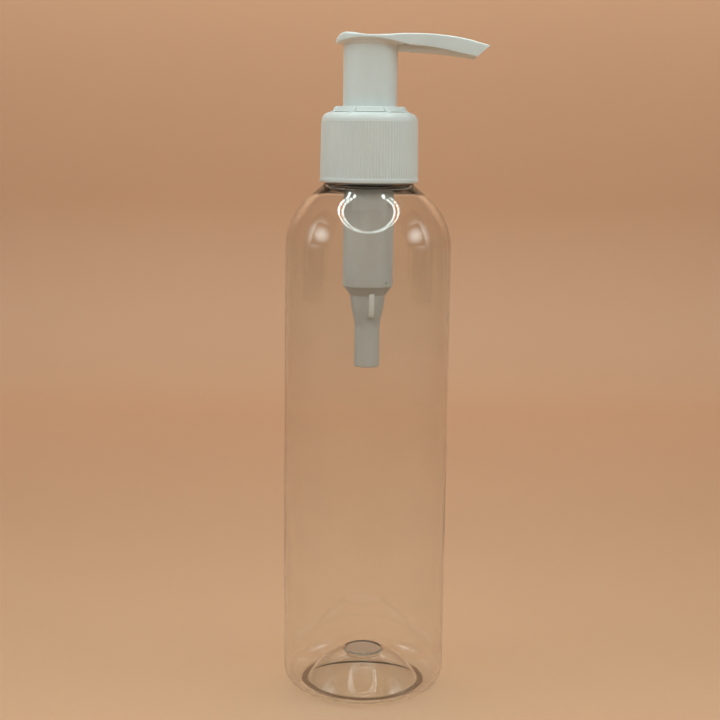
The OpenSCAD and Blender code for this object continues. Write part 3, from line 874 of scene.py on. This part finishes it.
def make_stage():
    """A plain pale floor that curves up into a backdrop."""
    material, tree, shader = new_material("pale_backdrop")
    shade = tinted(tree, ranged(tree, noise(tree, 3, 2), 0, 1), (0.8, 0.475, 0.29), (0.825, 0.495, 0.305))
    tree.links.new(shade, shader.inputs["Base Color"])
    shader.inputs["Roughness"].default_value = 0.6
    side, bend, back = 2500, 120, 420
    profile = [(-1500, 0), (back, 0)] + [(back + y, bend + z) for y, z in arc(0, 0, bend, -90, 0, 24)] + [
        (back + bend, 2200)]
    points = [(x, y, z) for y, z in profile for x in (-side, side)]
    faces = [(2 * i, 2 * i + 1, 2 * i + 3, 2 * i + 2) for i in range(len(profile) - 1)]
    stage = make_piece("backdrop", points, faces)
    stage.data.materials.append(material)


def area_light(name, size, place, aim, power, colour):
    """A rectangular lamp that lights the object and isn't seen."""
    light = bpy.data.lights.new(name, "AREA")
    light.shape, light.size, light.size_y = "RECTANGLE", size[0] * MM, size[1] * MM
    light.energy, light.color = power, colour
    lamp = bpy.data.objects.new(name, light)
    lamp.location = Vector(place) * MM
    lamp.rotation_mode = "QUATERNION"
    lamp.rotation_quaternion = (Vector(aim) - Vector(place)).to_track_quat("-Z", "Y")
    lamp.visible_camera = False
    bpy.context.scene.collection.objects.link(lamp)


def glowing(name, strength, colour, soft=False):
    """Light from a surface. If it is soft, it fades towards the surface's edges."""
    material, tree, shader = new_material(name)
    shader.inputs["Base Color"].default_value = (0, 0, 0, 1)
    shader.inputs["Emission Color"].default_value = (*colour, 1)
    shader.inputs["Emission Strength"].default_value = strength
    if soft:
        place = add(tree, "ShaderNodeTexCoord")
        middle = add(tree, "ShaderNodeVectorMath", operation="DISTANCE")
        middle.inputs[1].default_value = (0.5, 0.5, 0.5)
        tree.links.new(place.outputs["Generated"], middle.inputs[0])
        fade = add(tree, "ShaderNodeMapRange", interpolation_type="SMOOTHSTEP",
                   **{"From Min": 0.5, "From Max": 0.05, "To Min": 0, "To Max": strength})
        tree.links.new(middle.outputs["Value"], fade.inputs["Value"])
        tree.links.new(fade.outputs["Result"], shader.inputs["Emission Strength"])
    return material


def lamp_piece(name, points, faces, material):
    """A glowing sheet on the stage. The camera sees only its reflections."""
    lamp = make_piece(name, points, faces)
    lamp.data.materials.append(material)
    lamp.visible_camera = False


def ring_lamp(centre, reach, rows, strength):
    """A level ring of small flat lamps in rows. They shine up and down."""
    lamps, wide, lit = 44, 9, 0.7  # lamps in a row, their width, and how much of the row they fill
    points, faces = [], []
    for row in rows:
        for start in np.arange(lamps) * 2 * math.pi / lamps:
            end = start + lit * 2 * math.pi / lamps
            faces.append(tuple(range(len(points), len(points) + 4)))
            for a, out in ((start, -wide / 2), (end, -wide / 2), (end, wide / 2), (start, wide / 2)):
                points.append((centre[0] + (reach[0] + row + out) * math.cos(a),
                               centre[1] + (reach[1] + row + out) * math.sin(a), centre[2]))
    lamp_piece("ring_lamp", points, faces, glowing("ring_lamp_glow", strength, WINDOW_LIGHT))


def soft_window(name, size, place, aim, strength):
    """A soft rectangular light that fades towards its edges."""
    turn = (Vector(aim) - Vector(place)).to_track_quat("-Z", "Y").to_matrix()
    wide, high = turn.col[0] * size[0] / 2, turn.col[1] * size[1] / 2
    middle = Vector(place)
    points = [middle - wide - high, middle + wide - high, middle + wide + high, middle - wide + high]
    lamp_piece(name, points, [(0, 1, 2, 3)], glowing(name + "_glow", strength, WINDOW_LIGHT, soft=True))


def make_lights():
    """A ring above the camera's side, windows and panels at both sides, and a little light from above."""
    cool, warm = (0.9, 1, 0.98), (1, 1, 0.95)
    ring_lamp(centre=(0, -135, 330), reach=(133, 180), rows=(-10, 10), strength=20)
    for side, name in ((-1, "left"), (1, "right")):
        soft_window(name + "_window", (460, 340), (side * 600, -190, 375), (0, 0, 135), strength=4.0)
        soft_window(name + "_panel", (520, 760), (side * 640, -110, 385), (0, -40, 150), strength=3.4)
    area_light("overhead", (400, 400), (0, 0, 800), (0, 0, 0), power=0.22, colour=cool)
    area_light("backdrop_lamp", (1100, 60), (0, 420, 440), (0, 540, 260), power=0.8, colour=warm)
    world = bpy.data.worlds.new("studio")
    world.use_nodes = True
    tree = world.node_tree
    light = tree.nodes["Background"]
    light.inputs["Color"].default_value = (0.85, 1.0, 1.0, 1)
    light.inputs["Strength"].default_value = 0.28
    far_wall = add(tree, "ShaderNodeBackground", Color=(0.46, 0.29, 0.175, 1))
    rays = add(tree, "ShaderNodeLightPath")
    mix = add(tree, "ShaderNodeMixShader")
    tree.links.new(rays.outputs["Is Diffuse Ray"], mix.inputs["Fac"])
    tree.links.new(far_wall.outputs["Background"], mix.inputs[1])
    tree.links.new(light.outputs["Background"], mix.inputs[2])
    tree.links.new(mix.outputs["Shader"], tree.nodes["World Output"].inputs["Surface"])
    bpy.context.scene.world = world
    bpy.context.scene.view_settings.view_transform = "Standard"


def make_camera():
    """A camera in front, a little above, rolled and shifted by a touch."""
    distance, height, pitch, roll, sideways = 395, 160.6, 9.12, 0.70, -1.92
    data = bpy.data.cameras.new("camera")
    data.sensor_width, data.lens = 36, 68.85
    data.clip_start, data.clip_end = 0.01, 20
    camera = bpy.data.objects.new("camera", data)
    turn = Matrix.Rotation(math.radians(90 - pitch), 4, "X") @ Matrix.Rotation(math.radians(roll), 4, "Z")
    camera.matrix_world = Matrix.Translation(Vector((sideways, -distance, height)) * MM) @ turn
    bpy.context.scene.collection.objects.link(camera)
    bpy.context.scene.camera = camera


make_camera()
make_bottle()
make_closure()
make_collar()
make_housing()
make_gasket()
make_piston()
make_stems()
make_spring()
make_ball()
make_head()
make_stage()
make_lights()

bpy.context.view_layer.update()
